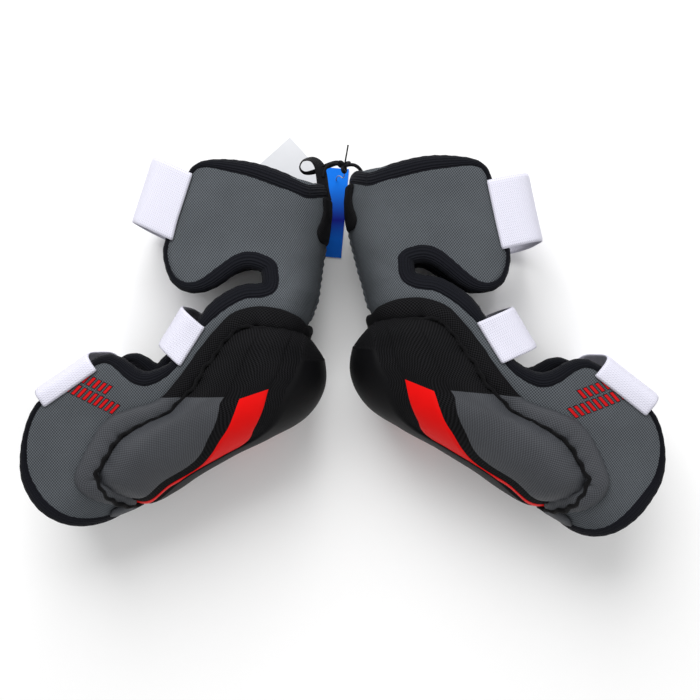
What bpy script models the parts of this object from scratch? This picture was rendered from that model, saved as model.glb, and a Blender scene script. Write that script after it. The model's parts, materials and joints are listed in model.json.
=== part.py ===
"""Pair of youth ice hockey elbow pads, tied together at their cuffs and lying on their sides.

Each pad is one long padded sheet, folded into a U round the arm. The sheet is described by ribs: a rib runs
from a point on the spine (the closed back of the U) to a point on the front edge, and its two walls stand
apart by the arm's width. Every layer, patch and band is mapped onto that sheet. Pad dimensions are in
millimetres in the left pad's own frame, whose origin is the elbow's bending axis at the neck of the pad.
"""
import math

import bmesh
import bpy
from mathutils import Matrix, Vector

MM = 0.001

# Where the pads lie: bending axis of each elbow, and the turn of each section about it, in degrees.
PAIR_SHIFT = (8.75, -17.0)
HINGE_AT = {"left": (-35.2, 45.8), "right": (25.0, 51.5)}
CUFF_TURN = {"left": 0.0, "right": -6.0}
GUARD_TURN = {"left": 0.0, "right": -3.5}
CUFF_SLIP = {"left": 0.0, "right": -3.0}

# Ribs of the upper arm cuff, top to bottom, and of the guard, neck to wrist: spine point, front edge point.
# The first and last cuff ribs and the last guard rib are outlines; the sheet ends one rib inside them.
CUFF_RIBS = [
    (24, 49, -47, 60), (25.3, 42.5, -54, 53), (26, 39, -58, 43), (26, 35.5, -61.5, 33), (26, 32, -64.5, 23),
    (25.5, 28, -67, 14), (25, 24, -68, 7), (24, 19.5, -67.5, 1), (22.8, 15, -65.5, -4.5), (21.5, 10, -62, -8),
    (19.5, 3.5, -57, -13.5),
]
GUARD_RIBS = [
    (16.5, -14, -13, -7.5), (14.5, -20, -28, -10.5), (12, -28, -43, -21), (8, -38, -51, -32),
    (6, -50, -57, -41), (7, -63, -62, -49), (1, -78, -67, -55), (-14, -89, -72, -59),
    (-34, -98.5, -78, -61), (-48, -106, -85, -58),
    (-58, -112, -93, -51), (-67, -118, -103, -47), (-80, -126, -120, -58), (-93, -135, -133, -67.5),
    (-100, -141, -139, -73),
]
# Depth keys along the ribs: rib, height of the middle plane, half depth, spine rounding, flare of the edge.
CUFF_DEPTH = [(0, 35.0, 32.5, 24, -4.2), (6, 35.0, 32.5, 24, -4.2), (10, 36.5, 31, 20, -3)]
GUARD_DEPTH = [(0, 38.5, 30.5, 15, 0), (3, 43.6, 30.5, 22, 2), (6, 44.6, 31, 28, 3), (11, 44.6, 31, 30, 3),
               (14, 44.4, 28.5, 30, 3)]
WRIST_BOW, WRIST_BOW_RIBS = 35.0, (7.0, 13.0)
NOTCH_LIFT, NOTCH_LIFT_RIBS = 4.5, (4.0, 9.0)
CUFF_SPAN = (1.0, 9.0)
GUARD_SPAN = (0.0, 13.0)
NECK_GAP = 1.3
NECK_EDGE = 24.0

# Layers of the sheet, measured inwards from its outer face.
COVER_THICK, FOAM_THICK, LINER_THICK, LAYER_GAP = 1.2, 4.0, 1.2, 0.45
FOAM_SLACK = 0.9
FOAM_TOP = -(COVER_THICK + LAYER_GAP)
LINER_TOP = FOAM_TOP - FOAM_THICK - LAYER_GAP
SHEET_MIDDLE = LINER_TOP / 2 - LINER_THICK / 2
BINDING_R = 3.0
EDGE_INSET = 8.0
BINDING_INSET = 3.6

# Elbow cap: rails of its flange and dome on the near wall, and the ribs where each meets the spine.
FLANGE_RAIL = [(-30, -27), (-39, -36), (-47, -46), (-58, -60), (-68, -71), (-86, -77), (-100, -84), (-111, -99),
               (-115, -113)]
FLANGE_SPINE = (2.3, 12.9)
DOME_RAIL = [(-25, -37), (-37, -49), (-46, -60), (-58, -75), (-69, -83), (-90, -94), (-100, -105), (-102, -113)]
DOME_SPINE = (3.1, 12.4)
FLANGE_BASE, FLANGE_THICK = 1.7, 2.0
DOME_BASE = FLANGE_BASE + FLANGE_THICK + 1.0
CAP_FOAM_THICK, CAP_SHELL_THICK, CAP_GAP = 1.4, 1.2, 0.5
DOME_LIFT = CAP_FOAM_THICK + CAP_SHELL_THICK + 3 * CAP_GAP + 1.5
OVERLAY_GAP = 1.3
DOME_EDGE_THICK, DOME_THICK, DOME_SPINE_BUMP = 1.4, 1.9, 2.2
PANEL_THICK, STRIPE_THICK = 1.1, 0.9
SIDE_PANEL_FRONT = [(-56, -79), (-69, -87), (-86, -96), (-94, -104), (-96, -112)]
SIDE_PANEL_BACK = [(-34, -76), (-39, -88), (-46, -99), (-56, -109), (-76, -119)]
STRIPE_FRONT = [(-26, -76), (-31, -87), (-38, -98), (-46, -106), (-54, -112)]
STRIPE_BACK = [(-11, -72), (-16, -84), (-23, -95), (-31, -102), (-44, -110)]
CENTRE_PANEL_U, CENTRE_PANEL_V = (0.16, 0.62), 0.19

# Straps: ends of the sewn root on the front edge, how far the loop stands out, and the tail's length.
STRAPS = {
    "cuff": {"root": ((-52, 52), (-64, 15)), "out": 22.6, "tail": 18.0, "section": "cuff",
             "skew": {"left": -7.0, "right": 0.0}},
    "elbow": {"root": ((-46, -32), (-59, -53)), "out": 14.5, "tail": 5.5, "section": "guard",
              "skew": {"left": -10.0, "right": 0.0}},
    "forearm": {"root": ((-104, -54), (-133, -74)), "out": 9.6, "tail": 14.0, "section": "guard",
                "skew": {"left": 0.0, "right": 0.0}},
}
STRAP_THICK = 1.5
STRAP_LIFT = 0.9
PATCH_THICK, TAB_THICK, HOOK_GAP = 0.8, 0.8, 0.35
PATCH_BASE = 0.6
TAIL_OFFSET = PATCH_BASE + PATCH_THICK + 2 * HOOK_GAP + TAB_THICK
LOOP_POWER = 0.6

# Tie, ribbon and cards at the cuffs' top corners, in the pair's frame.
TIE_AT = (-3.5, 107.0)
KNOT_R = 3.6
TAG_SIZE, TAG_AT, TAG_TURN = (54.0, 56.0), (-30.0, 88.0), -5.0
CARD_SIZE, CARD_AT, CARD_TURN = (34.0, 34.0), (-39.0, 109.5), 42.0
PAPER_THICK = 0.4
TAG_HEIGHT, CARD_HEIGHT = 0.25, 0.95
RIBBON_LOOP = [
    (-2, 5, 36), (-8, 3, 37), (-15, 0, 38), (-20, -4, 39), (-19, -9, 40), (-12, -6, 40), (-5, -1, 39),
]
RIBBON_R = 1.2
KNOT_HEIGHT, TIE_CORD_R = 44.0, 1.2

COLORS = {
    "grey_fabric": (0.092, 0.100, 0.116, 0.85), "black_fabric": (0.016, 0.016, 0.018, 0.8),
    "foam": (0.30, 0.30, 0.31, 0.9), "lining": (0.012, 0.012, 0.014, 0.9), "binding": (0.008, 0.009, 0.013, 0.75),
    "panel_grey": (0.070, 0.074, 0.086, 0.55), "panel_black": (0.010, 0.010, 0.012, 0.35),
    "red": (0.62, 0.004, 0.002, 0.45), "plastic": (0.05, 0.05, 0.055, 0.4), "elastic": (0.80, 0.79, 0.88, 0.8),
    "tag_blue": (0.0, 0.12, 0.62, 0.35), "card_white": (0.85, 0.85, 0.86, 0.5),
}


# ---------------------------------------------------------------- scene helpers

def clear_scene():
    for obj in list(bpy.data.objects):
        bpy.data.objects.remove(obj, do_unlink=True)


def material(name):
    if name in bpy.data.materials:
        return bpy.data.materials[name]
    mat = bpy.data.materials.new(name)
    mat.use_nodes = True
    shader = mat.node_tree.nodes["Principled BSDF"]
    red, green, blue, rough = COLORS[name]
    shader.inputs["Base Color"].default_value = (red, green, blue, 1.0)
    shader.inputs["Roughness"].default_value = rough
    shader.inputs["Metallic"].default_value = 0.0
    return mat


def collection(name):
    made = bpy.data.collections.new(name)
    bpy.context.scene.collection.children.link(made)
    return made


def add(name, data, parent, mat, group):
    obj = bpy.data.objects.new(name, data)
    data.materials.append(material(mat))
    group.objects.link(obj)
    obj.parent = parent
    return obj


# ---------------------------------------------------------------- the folded sheet

def smooth_step(x):
    x = min(1.0, max(0.0, x))
    return x * x * (3 - 2 * x)


def spline(points, s):
    """Smooth curve through the points, at a fractional index."""
    last = len(points) - 1
    i = int(min(max(math.floor(s), 0), last - 1))
    k = s - i
    p = [points[min(max(j, 0), last)] for j in (i - 1, i, i + 1, i + 2)]
    return tuple(
        0.5 * (2 * b + (c - a) * k + (2 * a - 5 * b + 4 * c - d) * k * k + (3 * b - a - 3 * c + d) * k ** 3)
        for a, b, c, d in zip(*p))


class Sheet:
    """One section's outer face. s runs along the ribs; t from the far edge -1, by the spine 0, to the near
    edge 1."""

    def __init__(self, ribs, keys, bend):
        self.ribs, self.keys, self.bend = ribs, keys, bend

    def depth(self, s):
        for low, high in zip(self.keys, self.keys[1:]):
            if s <= high[0]:
                k = smooth_step((s - low[0]) / (high[0] - low[0]))
                return [a + (b - a) * k for a, b in zip(low[1:], high[1:])]
        return list(self.keys[-1][1:])

    def point(self, s, t):
        bx, by, fx, fy = spline(self.ribs, s)
        mid, half, rounding, flare = self.depth(s)
        length = math.hypot(fx - bx, fy - by)
        ex, ey = (fx - bx) / length, (fy - by) / length
        a = abs(t)
        if a < 0.5:
            angle = a * math.pi
            d, h = rounding * (1 - math.cos(angle)), half * math.sin(angle)
        else:
            k = (a - 0.5) * 2
            d, h = rounding + (length - rounding) * k, half + flare * smooth_step(k)
        bow = self.bend(s, min(1.0, d / length))
        return Vector((bx + ex * d - ey * bow, by + ey * d + ex * bow, mid + math.copysign(h, t)))

    def on(self, s, t, offset=0.0):
        """Point at a distance outside the outer face."""
        step = 0.02
        along = self.point(s + step, t) - self.point(s - step, t)
        across = self.point(s, t + step) - self.point(s, t - step)
        return self.point(s, t) + across.cross(along).normalized() * offset

    def t_at(self, s, distance):
        """t at a distance from the spine, measured along the rib."""
        bx, by, fx, fy = spline(self.ribs, s)
        rounding = self.depth(s)[2]
        if distance < rounding:
            return math.acos(1 - distance / rounding) / math.pi
        return 0.5 + 0.5 * (distance - rounding) / (math.hypot(fx - bx, fy - by) - rounding)

    def edge_t(self, s, inset):
        """t of the line that stays a given distance inside the front edge."""
        bx, by, fx, fy = spline(self.ribs, s)
        ahead, behind = spline(self.ribs, s + 0.1), spline(self.ribs, s - 0.1)
        rib = Vector((fx - bx, fy - by))
        edge = Vector((ahead[2] - behind[2], ahead[3] - behind[3]))
        slant = abs(rib.normalized().cross(edge.normalized()))
        return self.t_at(s, rib.length - inset / max(0.55, slant))


def wrist_bow(s, share):
    low, high = WRIST_BOW_RIBS
    sharpness = 0.55 if share < 0.5 else 1.0
    return WRIST_BOW * smooth_step((s - low) / (high - low)) * (4 * share * (1 - share)) ** sharpness


def notch_lift(s, share):
    low, high = NOTCH_LIFT_RIBS
    return -NOTCH_LIFT * smooth_step((s - low) / (high - low)) * math.exp(-((share - 0.47) / 0.17) ** 2)


CUFF = Sheet(CUFF_RIBS, CUFF_DEPTH, notch_lift)
GUARD = Sheet(GUARD_RIBS, GUARD_DEPTH, wrist_bow)
SHEETS = {"cuff": CUFF, "guard": GUARD}


def locate(surface, target, low, high):
    """Parameters (a, b) at which the surface lies over a point of the plane."""
    def miss(a, b):
        p = surface(a, b)
        return math.hypot(p.x - target[0], p.y - target[1])
    steps = 20
    grid = [(low[0] + (high[0] - low[0]) * i / steps, low[1] + (high[1] - low[1]) * j / steps)
            for i in range(steps + 1) for j in range(steps + 1)]
    best = min(grid, key=lambda ab: miss(*ab))
    reach = [(high[k] - low[k]) / steps for k in (0, 1)]
    for _ in range(16):
        around = [(min(high[0], max(low[0], best[0] + i * reach[0])),
                   min(high[1], max(low[1], best[1] + j * reach[1])))
                  for i in (-1, -0.5, 0, 0.5, 1) for j in (-1, -0.5, 0, 0.5, 1)]
        best = min(around, key=lambda ab: miss(*ab))
        reach = [r * 0.6 for r in reach]
    return best


# ---------------------------------------------------------------- elbow cap fields

def cap_field(rail, spine_ribs):
    """Map u (neck to wrist) and v (far rail -1, spine 0, near rail 1) to the sheet's s and t."""
    near = [locate(GUARD.point, p, (1.0, 0.1), (13.0, 1.0)) for p in rail]

    def field(u, v):
        s_rail, t_rail = spline(near, u * (len(near) - 1))
        s_spine = spine_ribs[0] + (spine_ribs[1] - spine_ribs[0]) * u
        return s_spine + (s_rail - s_spine) * abs(v) ** 1.5, t_rail * v
    return field


def plateau(u, v, margin=0.16):
    return (smooth_step((1 - abs(v)) / margin) * smooth_step(u / margin) * smooth_step((1 - u) / margin))


def dome_inner(u, v):
    return DOME_BASE + DOME_LIFT * plateau(u, v)


def dome_thick(u, v):
    bump = DOME_SPINE_BUMP * math.exp(-(v / 0.3) ** 2) * math.sin(math.pi * min(1.0, u * 1.25 + 0.1)) ** 2
    return DOME_EDGE_THICK + (DOME_THICK - DOME_EDGE_THICK) * plateau(u, v) + bump * plateau(u, v)


# ---------------------------------------------------------------- making solids

def layer(name, parent, mat, group, columns, rows, place, thick):
    """A grid mapped by place(a, b), thickened outwards by thick, a number or a function of a and b."""
    mesh = bpy.data.meshes.new(name)
    bm = bmesh.new()
    bmesh.ops.create_grid(bm, x_segments=columns, y_segments=rows, size=0.5)
    weights = {}
    most = thick if not callable(thick) else max(
        thick(i / columns, j / rows) for i in range(columns + 1) for j in range(rows + 1))
    bm.verts.ensure_lookup_table()
    for vert in bm.verts:
        a, b = vert.co.x + 0.5, vert.co.y + 0.5
        weights[vert.index] = thick(a, b) / most if callable(thick) else 1.0
        vert.co = place(a, b) * MM
    bm.to_mesh(mesh)
    bm.free()
    obj = add(name, mesh, parent, mat, group)
    solid = obj.modifiers.new("thickness", "SOLIDIFY")
    solid.thickness = most * MM
    solid.offset = 1.0
    solid.use_even_offset = False
    if callable(thick):
        vertices = obj.vertex_groups.new(name="thickness")
        for index, weight in weights.items():
            vertices.add([index], weight, "REPLACE")
        solid.vertex_group = vertices.name
    return obj


def tube(name, parent, mat, group, points, radius, cyclic=False):
    curve = bpy.data.curves.new(name, "CURVE")
    curve.dimensions = "3D"
    curve.bevel_depth = radius * MM
    curve.bevel_resolution = 2
    curve.use_fill_caps = True
    run = curve.splines.new("POLY")
    run.points.add(len(points) - 1)
    for point, co in zip(run.points, points):
        point.co = (*(co * MM), 1.0)
    run.use_cyclic_u = cyclic
    return add(name, curve, parent, mat, group)


def slab(name, parent, mat, group, size, thickness, centre, turn):
    bpy.ops.mesh.primitive_cube_add(size=1.0)
    obj = bpy.context.object
    obj.name = obj.data.name = name
    for owner in list(obj.users_collection):
        owner.objects.unlink(obj)
    group.objects.link(obj)
    obj.data.transform(Matrix.Diagonal((size[0] * MM, size[1] * MM, thickness * MM, 1.0)))
    obj.data.materials.append(material(mat))
    obj.location = Vector(centre) * MM
    obj.rotation_euler = (0.0, 0.0, math.radians(turn))
    obj.parent = parent
    return obj


# ---------------------------------------------------------------- pad sections

def arc_spread(x):
    """Columns gathered on the rounded spine: x from 0 to 1 gives t from -1 to 1."""
    walls = 0.2
    if x < walls:
        return -1 + 0.5 * x / walls
    if x > 1 - walls:
        return 1 - 0.5 * (1 - x) / walls
    return (x - 0.5) / (1 - 2 * walls)


def sheet_layers(prefix, parent, group, sheet, span, rows):
    def mapped(offset):
        def place(a, b):
            s = span[0] + (span[1] - span[0]) * b
            return sheet.on(s, arc_spread(a) * sheet.edge_t(s, EDGE_INSET), offset)
        return place
    columns = 8
    layer(prefix + "_cover", parent, "grey_fabric", group, columns, rows, mapped(-COVER_THICK), COVER_THICK)
    layer(prefix + "_foam", parent, "foam", group, columns, rows, mapped(FOAM_TOP - FOAM_THICK),
          FOAM_THICK - FOAM_SLACK)
    layer(prefix + "_liner", parent, "lining", group, columns, rows, mapped(LINER_TOP - LINER_THICK), LINER_THICK)


def mirrored(path):
    """A path of (s, t) pairs over the near wall, continued over the far wall."""
    return path + [(s, -t) for s, t in reversed(path)]


def binding(name, parent, group, sheet, path):
    tube(name, parent, "binding", group, [sheet.on(s, t, SHEET_MIDDLE) for s, t in mirrored(path)], BINDING_R)


def cuff_section(side, parent, group):
    prefix = side + "_cuff"
    sheet_layers(prefix, parent, group, CUFF, CUFF_SPAN, 8)
    low, high = 0.42, 9.6
    start = CUFF.t_at(high, NECK_EDGE + 2 * BINDING_R)
    corner = CUFF.edge_t(high, BINDING_INSET)
    path = [(high, start + (corner - start) * i / 3) for i in range(4)]
    path += [(s, CUFF.edge_t(s, BINDING_INSET)) for s in range(9, 0, -1)]
    corner = CUFF.edge_t(low, BINDING_INSET)
    path += [(low, corner * (1 - i / 5)) for i in range(5)]
    binding(prefix + "_binding", parent, group, CUFF, path)

    def back_patch(a, b):
        return CUFF.on(1.3 + 5.4 * b, (a - 0.5) * 0.46, 0.7)
    layer(prefix + "_back_patch", parent, "black_fabric", group, 6, 3, back_patch, 1.2)


def neck_section(side, parent, group):
    """Gusset between cuff and guard. Its two ends follow the sections that they are sewn to."""
    sign = 1 if side == "left" else -1
    to_cuff = Matrix.Rotation(math.radians((CUFF_TURN[side] - GUARD_TURN[side]) * sign), 3, "Z")
    slip = Vector((CUFF_SLIP[side] * sign, 0, 0))
    base = LINER_TOP - LINER_THICK

    def place(a, b):
        x = arc_spread(a)
        upper = CUFF.on(CUFF_SPAN[1], x * CUFF.t_at(CUFF_SPAN[1], NECK_EDGE), base)
        lower = GUARD.on(GUARD_SPAN[0], x * GUARD.edge_t(GUARD_SPAN[0], EDGE_INSET - 3), base)
        upper = to_cuff @ upper + slip
        clear = NECK_GAP / (upper - lower).length
        return upper.lerp(lower, clear + (1 - 2 * clear) * b)
    layer(side + "_neck_gusset", parent, "grey_fabric", group, 8, 3, place, -base - 0.3)


def guard_section(side, parent, group, flange, dome):
    prefix = side + "_guard"
    sheet_layers(prefix, parent, group, GUARD, GUARD_SPAN, 13)
    end = 13.8
    path = [(0, GUARD.edge_t(0, 0.5))] + [(s, GUARD.edge_t(s, BINDING_INSET)) for s in range(1, 14)]
    corner = GUARD.edge_t(end, BINDING_INSET)
    path += [(end, corner * (1 - i / 8)) for i in range(8)]
    binding(prefix + "_binding", parent, group, GUARD, path)

    def flange_place(a, b):
        return GUARD.on(*flange(b, 2 * a - 1), FLANGE_BASE)
    layer(side + "_cap_flange", parent, "black_fabric", group, 10, 8, flange_place, FLANGE_THICK)

    def insert(offset):
        def place(a, b):
            return GUARD.on(*dome(0.27 + 0.46 * b, (2 * a - 1) * 0.62), offset)
        return place
    foam_base = DOME_BASE + CAP_GAP
    shell_base = foam_base + CAP_FOAM_THICK + CAP_GAP
    layer(side + "_cap_foam", parent, "foam", group, 8, 5, insert(foam_base), CAP_FOAM_THICK)
    layer(side + "_cap_shell", parent, "plastic", group, 8, 5, insert(shell_base), CAP_SHELL_THICK)

    def dome_place(a, b):
        v = 2 * a - 1
        return GUARD.on(*dome(b, v), dome_inner(b, v))
    layer(side + "_cap_dome", parent, "black_fabric", group, 12, 9, dome_place,
          lambda a, b: dome_thick(b, 2 * a - 1))


def cap_overlays(side, parent, group, dome, floor_cutter):
    def outer(u, v):
        return GUARD.on(*dome(u, v), dome_inner(u, v) + dome_thick(u, v) + OVERLAY_GAP)

    def between(rail_a, rail_b, sign):
        places = [[locate(outer, p, (0.0, 0.02), (1.0, 1.0)) for p in rail] for rail in (rail_a, rail_b)]

        def place(a, b):
            if sign < 0:
                a = 1 - a
            ends = [spline(rail, b * (len(rail) - 1)) for rail in places]
            u, v = (x + (y - x) * a for x, y in zip(*ends))
            return outer(u, sign * v)
        return place
    for where, sign in (("near", 1), ("far", -1)):
        panel = layer(side + "_side_panel_" + where, parent, "panel_grey", group, 3, 5,
                      between(SIDE_PANEL_BACK, SIDE_PANEL_FRONT, sign), PANEL_THICK)
        stripe = layer(side + "_red_stripe_" + where, parent, "red", group, 1, 5,
                       between(STRIPE_BACK, STRIPE_FRONT, sign), STRIPE_THICK)
        if where == "far":
            for obj in (panel, stripe):
                cut = obj.modifiers.new("flat_rest", "BOOLEAN")
                cut.operation = "DIFFERENCE"
                cut.solver = "EXACT"
                cut.object = floor_cutter

    def centre(a, b):
        u = CENTRE_PANEL_U[0] + (CENTRE_PANEL_U[1] - CENTRE_PANEL_U[0]) * b
        return outer(u, (2 * a - 1) * CENTRE_PANEL_V)
    layer(side + "_cap_centre_panel", parent, "panel_black", group, 4, 5, centre, PANEL_THICK)


# ---------------------------------------------------------------- straps

def strap(side, name, spec, parent, group):
    """Elastic strap from its sewn root, round the open front, to the far wall, with hook and loop patches."""
    sheet = SHEETS[spec["section"]]
    start, end = (Vector((*p, 0.0)) for p in spec["root"])
    width = (end - start).length
    along = (end - start).normalized()
    inward = Vector((-along.y, along.x, 0.0))
    out = Matrix.Rotation(math.radians(spec["skew"][side]), 3, "Z") @ -inward
    tail = spec["tail"]

    def wall_height(point, offset):
        """Heights of the near and far faces over a point near the front edge."""
        s, t = locate(sheet.point, (point.x, point.y), (0.5, 0.5), (len(sheet.ribs) - 1.5, 1.0))
        return sheet.on(s, t, offset).z, sheet.on(s, -t, offset).z
    middle = (start + end) / 2
    top = wall_height(middle, STRAP_LIFT)[0] + 0.2
    low = min(wall_height(start + along * width * k, TAIL_OFFSET)[1] for k in (0.0, 0.5, 1.0))
    loop_steps, tail_steps = 9, 2
    rows = loop_steps + tail_steps

    def place(a, b):
        row = round(b * rows)
        root = start + along * width * (1 - a)
        if row <= loop_steps:
            angle = math.pi * row / loop_steps
            reach = spec["out"] * math.sin(angle) ** LOOP_POWER
            swing = math.copysign(abs(math.cos(angle)) ** LOOP_POWER, math.cos(angle))
            return root + out * max(0.3, reach) + Vector((0, 0, (top + low) / 2 + (top - low) / 2 * swing))
        point = root + inward * tail * (row - loop_steps) / tail_steps
        return Vector((point.x, point.y, min(low, wall_height(point, TAIL_OFFSET)[1])))
    layer(side + "_" + name + "_strap", parent, "elastic", group, 2, rows, place, STRAP_THICK)

    def lying(offset, first, last, margin):
        def place_flat(a, b):
            across = along * width * (margin + (1 - 2 * margin) * a)
            point = start + across + inward * (first + (last - first) * b)
            return Vector((point.x, point.y, wall_height(point, offset)[1]))
        return place_flat
    patch = PATCH_BASE + PATCH_THICK
    layer(side + "_" + name + "_loop_patch", parent, "black_fabric", group, 1, 2,
          lying(patch, 1.0, tail - 0.5, 0.1), PATCH_THICK)
    layer(side + "_" + name + "_hook_tab", parent, "black_fabric", group, 1, 2,
          lying(patch + HOOK_GAP + TAB_THICK, 1.5, tail - 1.0, 0.06), TAB_THICK)


# ---------------------------------------------------------------- tie and cards

def tie_parts(pair, group):
    """Ribbon loop on the left cuff's corner, the cord knotted through it, and the two cards under the cuffs."""
    loop = [Vector((TIE_AT[0] + x, TIE_AT[1] + y, z)) for x, y, z in RIBBON_LOOP]
    tube("hang_loop", pair, "binding", group, loop, RIBBON_R, cyclic=True)
    knot = []
    for turn in (math.pi * i / 6 for i in range(11)):
        knot.append(Vector((TIE_AT[0] + KNOT_R * math.cos(turn), TIE_AT[1] + KNOT_R * math.sin(turn),
                            KNOT_HEIGHT + 1.2 * turn / math.pi)))
    tube("tie_cord", pair, "binding", group, knot, TIE_CORD_R)
    slab("hang_tag", pair, "tag_blue", group, TAG_SIZE, PAPER_THICK, (*TAG_AT, TAG_HEIGHT), TAG_TURN)
    slab("label_card", pair, "card_white", group, CARD_SIZE, PAPER_THICK, (*CARD_AT, CARD_HEIGHT), CARD_TURN)


# ---------------------------------------------------------------- assembly

def build():
    clear_scene()
    parts = collection("elbow_pads")
    tools = collection("cutters")
    pair = bpy.data.objects.new("pair_frame", None)
    pair.location = Vector((*PAIR_SHIFT, 0.0)) * MM
    parts.objects.link(pair)

    bpy.ops.mesh.primitive_cube_add(size=1.0, location=(0, 0, -0.05))
    floor_cutter = bpy.context.object
    floor_cutter.name = "floor_cutter"
    floor_cutter.data.transform(Matrix.Diagonal((0.8, 0.8, 0.1, 1.0)))
    for owner in list(floor_cutter.users_collection):
        owner.objects.unlink(floor_cutter)
    tools.objects.link(floor_cutter)
    floor_cutter.hide_render = True
    floor_cutter.display_type = "WIRE"

    flange = cap_field(FLANGE_RAIL, FLANGE_SPINE)
    dome = cap_field(DOME_RAIL, DOME_SPINE)

    for side in ("left", "right"):
        mirror = 1.0 if side == "left" else -1.0
        frames = {}
        for section, turn in (("cuff", CUFF_TURN[side]), ("guard", GUARD_TURN[side])):
            frame = bpy.data.objects.new(side + "_" + section + "_frame", None)
            slip = CUFF_SLIP[side] if section == "cuff" else 0.0
            frame.location = Vector((HINGE_AT[side][0] + slip, HINGE_AT[side][1], 0.0)) * MM
            frame.rotation_euler = (0.0, 0.0, math.radians(turn))
            frame.scale = (mirror, 1.0, 1.0)
            frame.parent = pair
            parts.objects.link(frame)
            frames[section] = frame
        cuff_section(side, frames["cuff"], parts)
        neck_section(side, frames["guard"], parts)
        guard_section(side, frames["guard"], parts, flange, dome)
        cap_overlays(side, frames["guard"], parts, dome, floor_cutter)
        for name, spec in STRAPS.items():
            strap(side, name, spec, frames[spec["section"]], parts)
    tie_parts(pair, parts)


build()
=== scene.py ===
"""Looks for the pair of youth ice hockey elbow pads, lying on their sides and tied together at the cuffs.

Each pad's surface is described in millimetres in the left pad's own frame, whose origin is the elbow's
bending axis; the right pad is its mirror image. Pad.put() takes a point from there to the row frame.
"""
import json
import math

import bmesh
import bpy
from mathutils import Matrix, Vector, noise


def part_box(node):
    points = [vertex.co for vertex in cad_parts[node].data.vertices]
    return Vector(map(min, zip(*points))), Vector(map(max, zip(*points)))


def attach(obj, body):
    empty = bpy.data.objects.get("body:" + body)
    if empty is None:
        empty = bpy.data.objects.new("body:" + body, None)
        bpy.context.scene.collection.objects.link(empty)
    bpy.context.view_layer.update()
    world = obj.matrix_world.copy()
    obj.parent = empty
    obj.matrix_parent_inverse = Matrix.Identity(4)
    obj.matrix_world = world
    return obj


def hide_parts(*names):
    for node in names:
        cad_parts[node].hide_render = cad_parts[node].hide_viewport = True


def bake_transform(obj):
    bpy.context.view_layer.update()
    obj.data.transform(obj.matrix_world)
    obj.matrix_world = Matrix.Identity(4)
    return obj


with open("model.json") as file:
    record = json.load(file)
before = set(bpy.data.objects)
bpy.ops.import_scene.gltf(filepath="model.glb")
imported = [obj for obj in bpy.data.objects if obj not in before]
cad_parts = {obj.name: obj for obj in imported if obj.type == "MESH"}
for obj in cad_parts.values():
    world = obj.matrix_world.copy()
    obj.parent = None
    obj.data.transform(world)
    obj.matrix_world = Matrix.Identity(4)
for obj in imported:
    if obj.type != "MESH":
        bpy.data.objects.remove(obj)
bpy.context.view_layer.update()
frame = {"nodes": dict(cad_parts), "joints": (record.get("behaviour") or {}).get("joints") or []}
JOINTS = {joint["name"]: joint for joint in frame["joints"]}

MM = 0.001
TURN = {"left": {"cuff": 0.0, "guard": 0.0}, "right": {"cuff": -6.0, "guard": -3.5}}
CUFF_SLIP = {"left": 0.0, "right": -3.0}

# The folded sheet that each section is made of, as ribs: spine point, front edge point.
CUFF_RIBS = [
    (24, 49, -47, 60), (25.3, 42.5, -54, 53), (26, 39, -58, 43), (26, 35.5, -61.5, 33),
    (26, 32, -64.5, 23), (25.5, 28, -67, 14), (25, 24, -68, 7), (24, 19.5, -67.5, 1),
    (22.8, 15, -65.5, -4.5), (21.5, 10, -62, -8), (19.5, 3.5, -57, -13.5),
]
GUARD_RIBS = [
    (16.5, -14, -13, -7.5), (14.5, -20, -28, -10.5), (12, -28, -43, -21), (8, -38, -51, -32),
    (6, -50, -57, -41), (7, -63, -62, -49), (1, -78, -67, -55), (-14, -89, -72, -59),
    (-34, -98.5, -78, -61), (-48, -106, -85, -58), (-58, -112, -93, -51), (-67, -118, -103, -47),
    (-80, -126, -120, -58), (-93, -135, -133, -67.5), (-100, -141, -139, -73),
]
# Depth keys along the ribs: rib, height of the middle plane, half depth, spine rounding, flare of the edge.
CUFF_DEPTH = [(0, 35.0, 32.5, 24, -4.2), (6, 35.0, 32.5, 24, -4.2), (10, 36.5, 31, 20, -3)]
GUARD_DEPTH = [(0, 38.5, 30.5, 15, 0), (3, 43.6, 30.5, 22, 2), (6, 44.6, 31, 28, 3), (11, 44.6, 31, 30, 3),
               (14, 44.4, 28.5, 30, 3)]
WRIST_BOW, WRIST_BOW_RIBS = 35.0, (7.0, 13.0)
NOTCH_LIFT, NOTCH_LIFT_RIBS = 4.5, (4.0, 9.0)

PAD_THICK = 7.6
PAD_MIDDLE = -3.9
BAND_THICK = 4.9
BAND_SPLIT = 3

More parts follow.
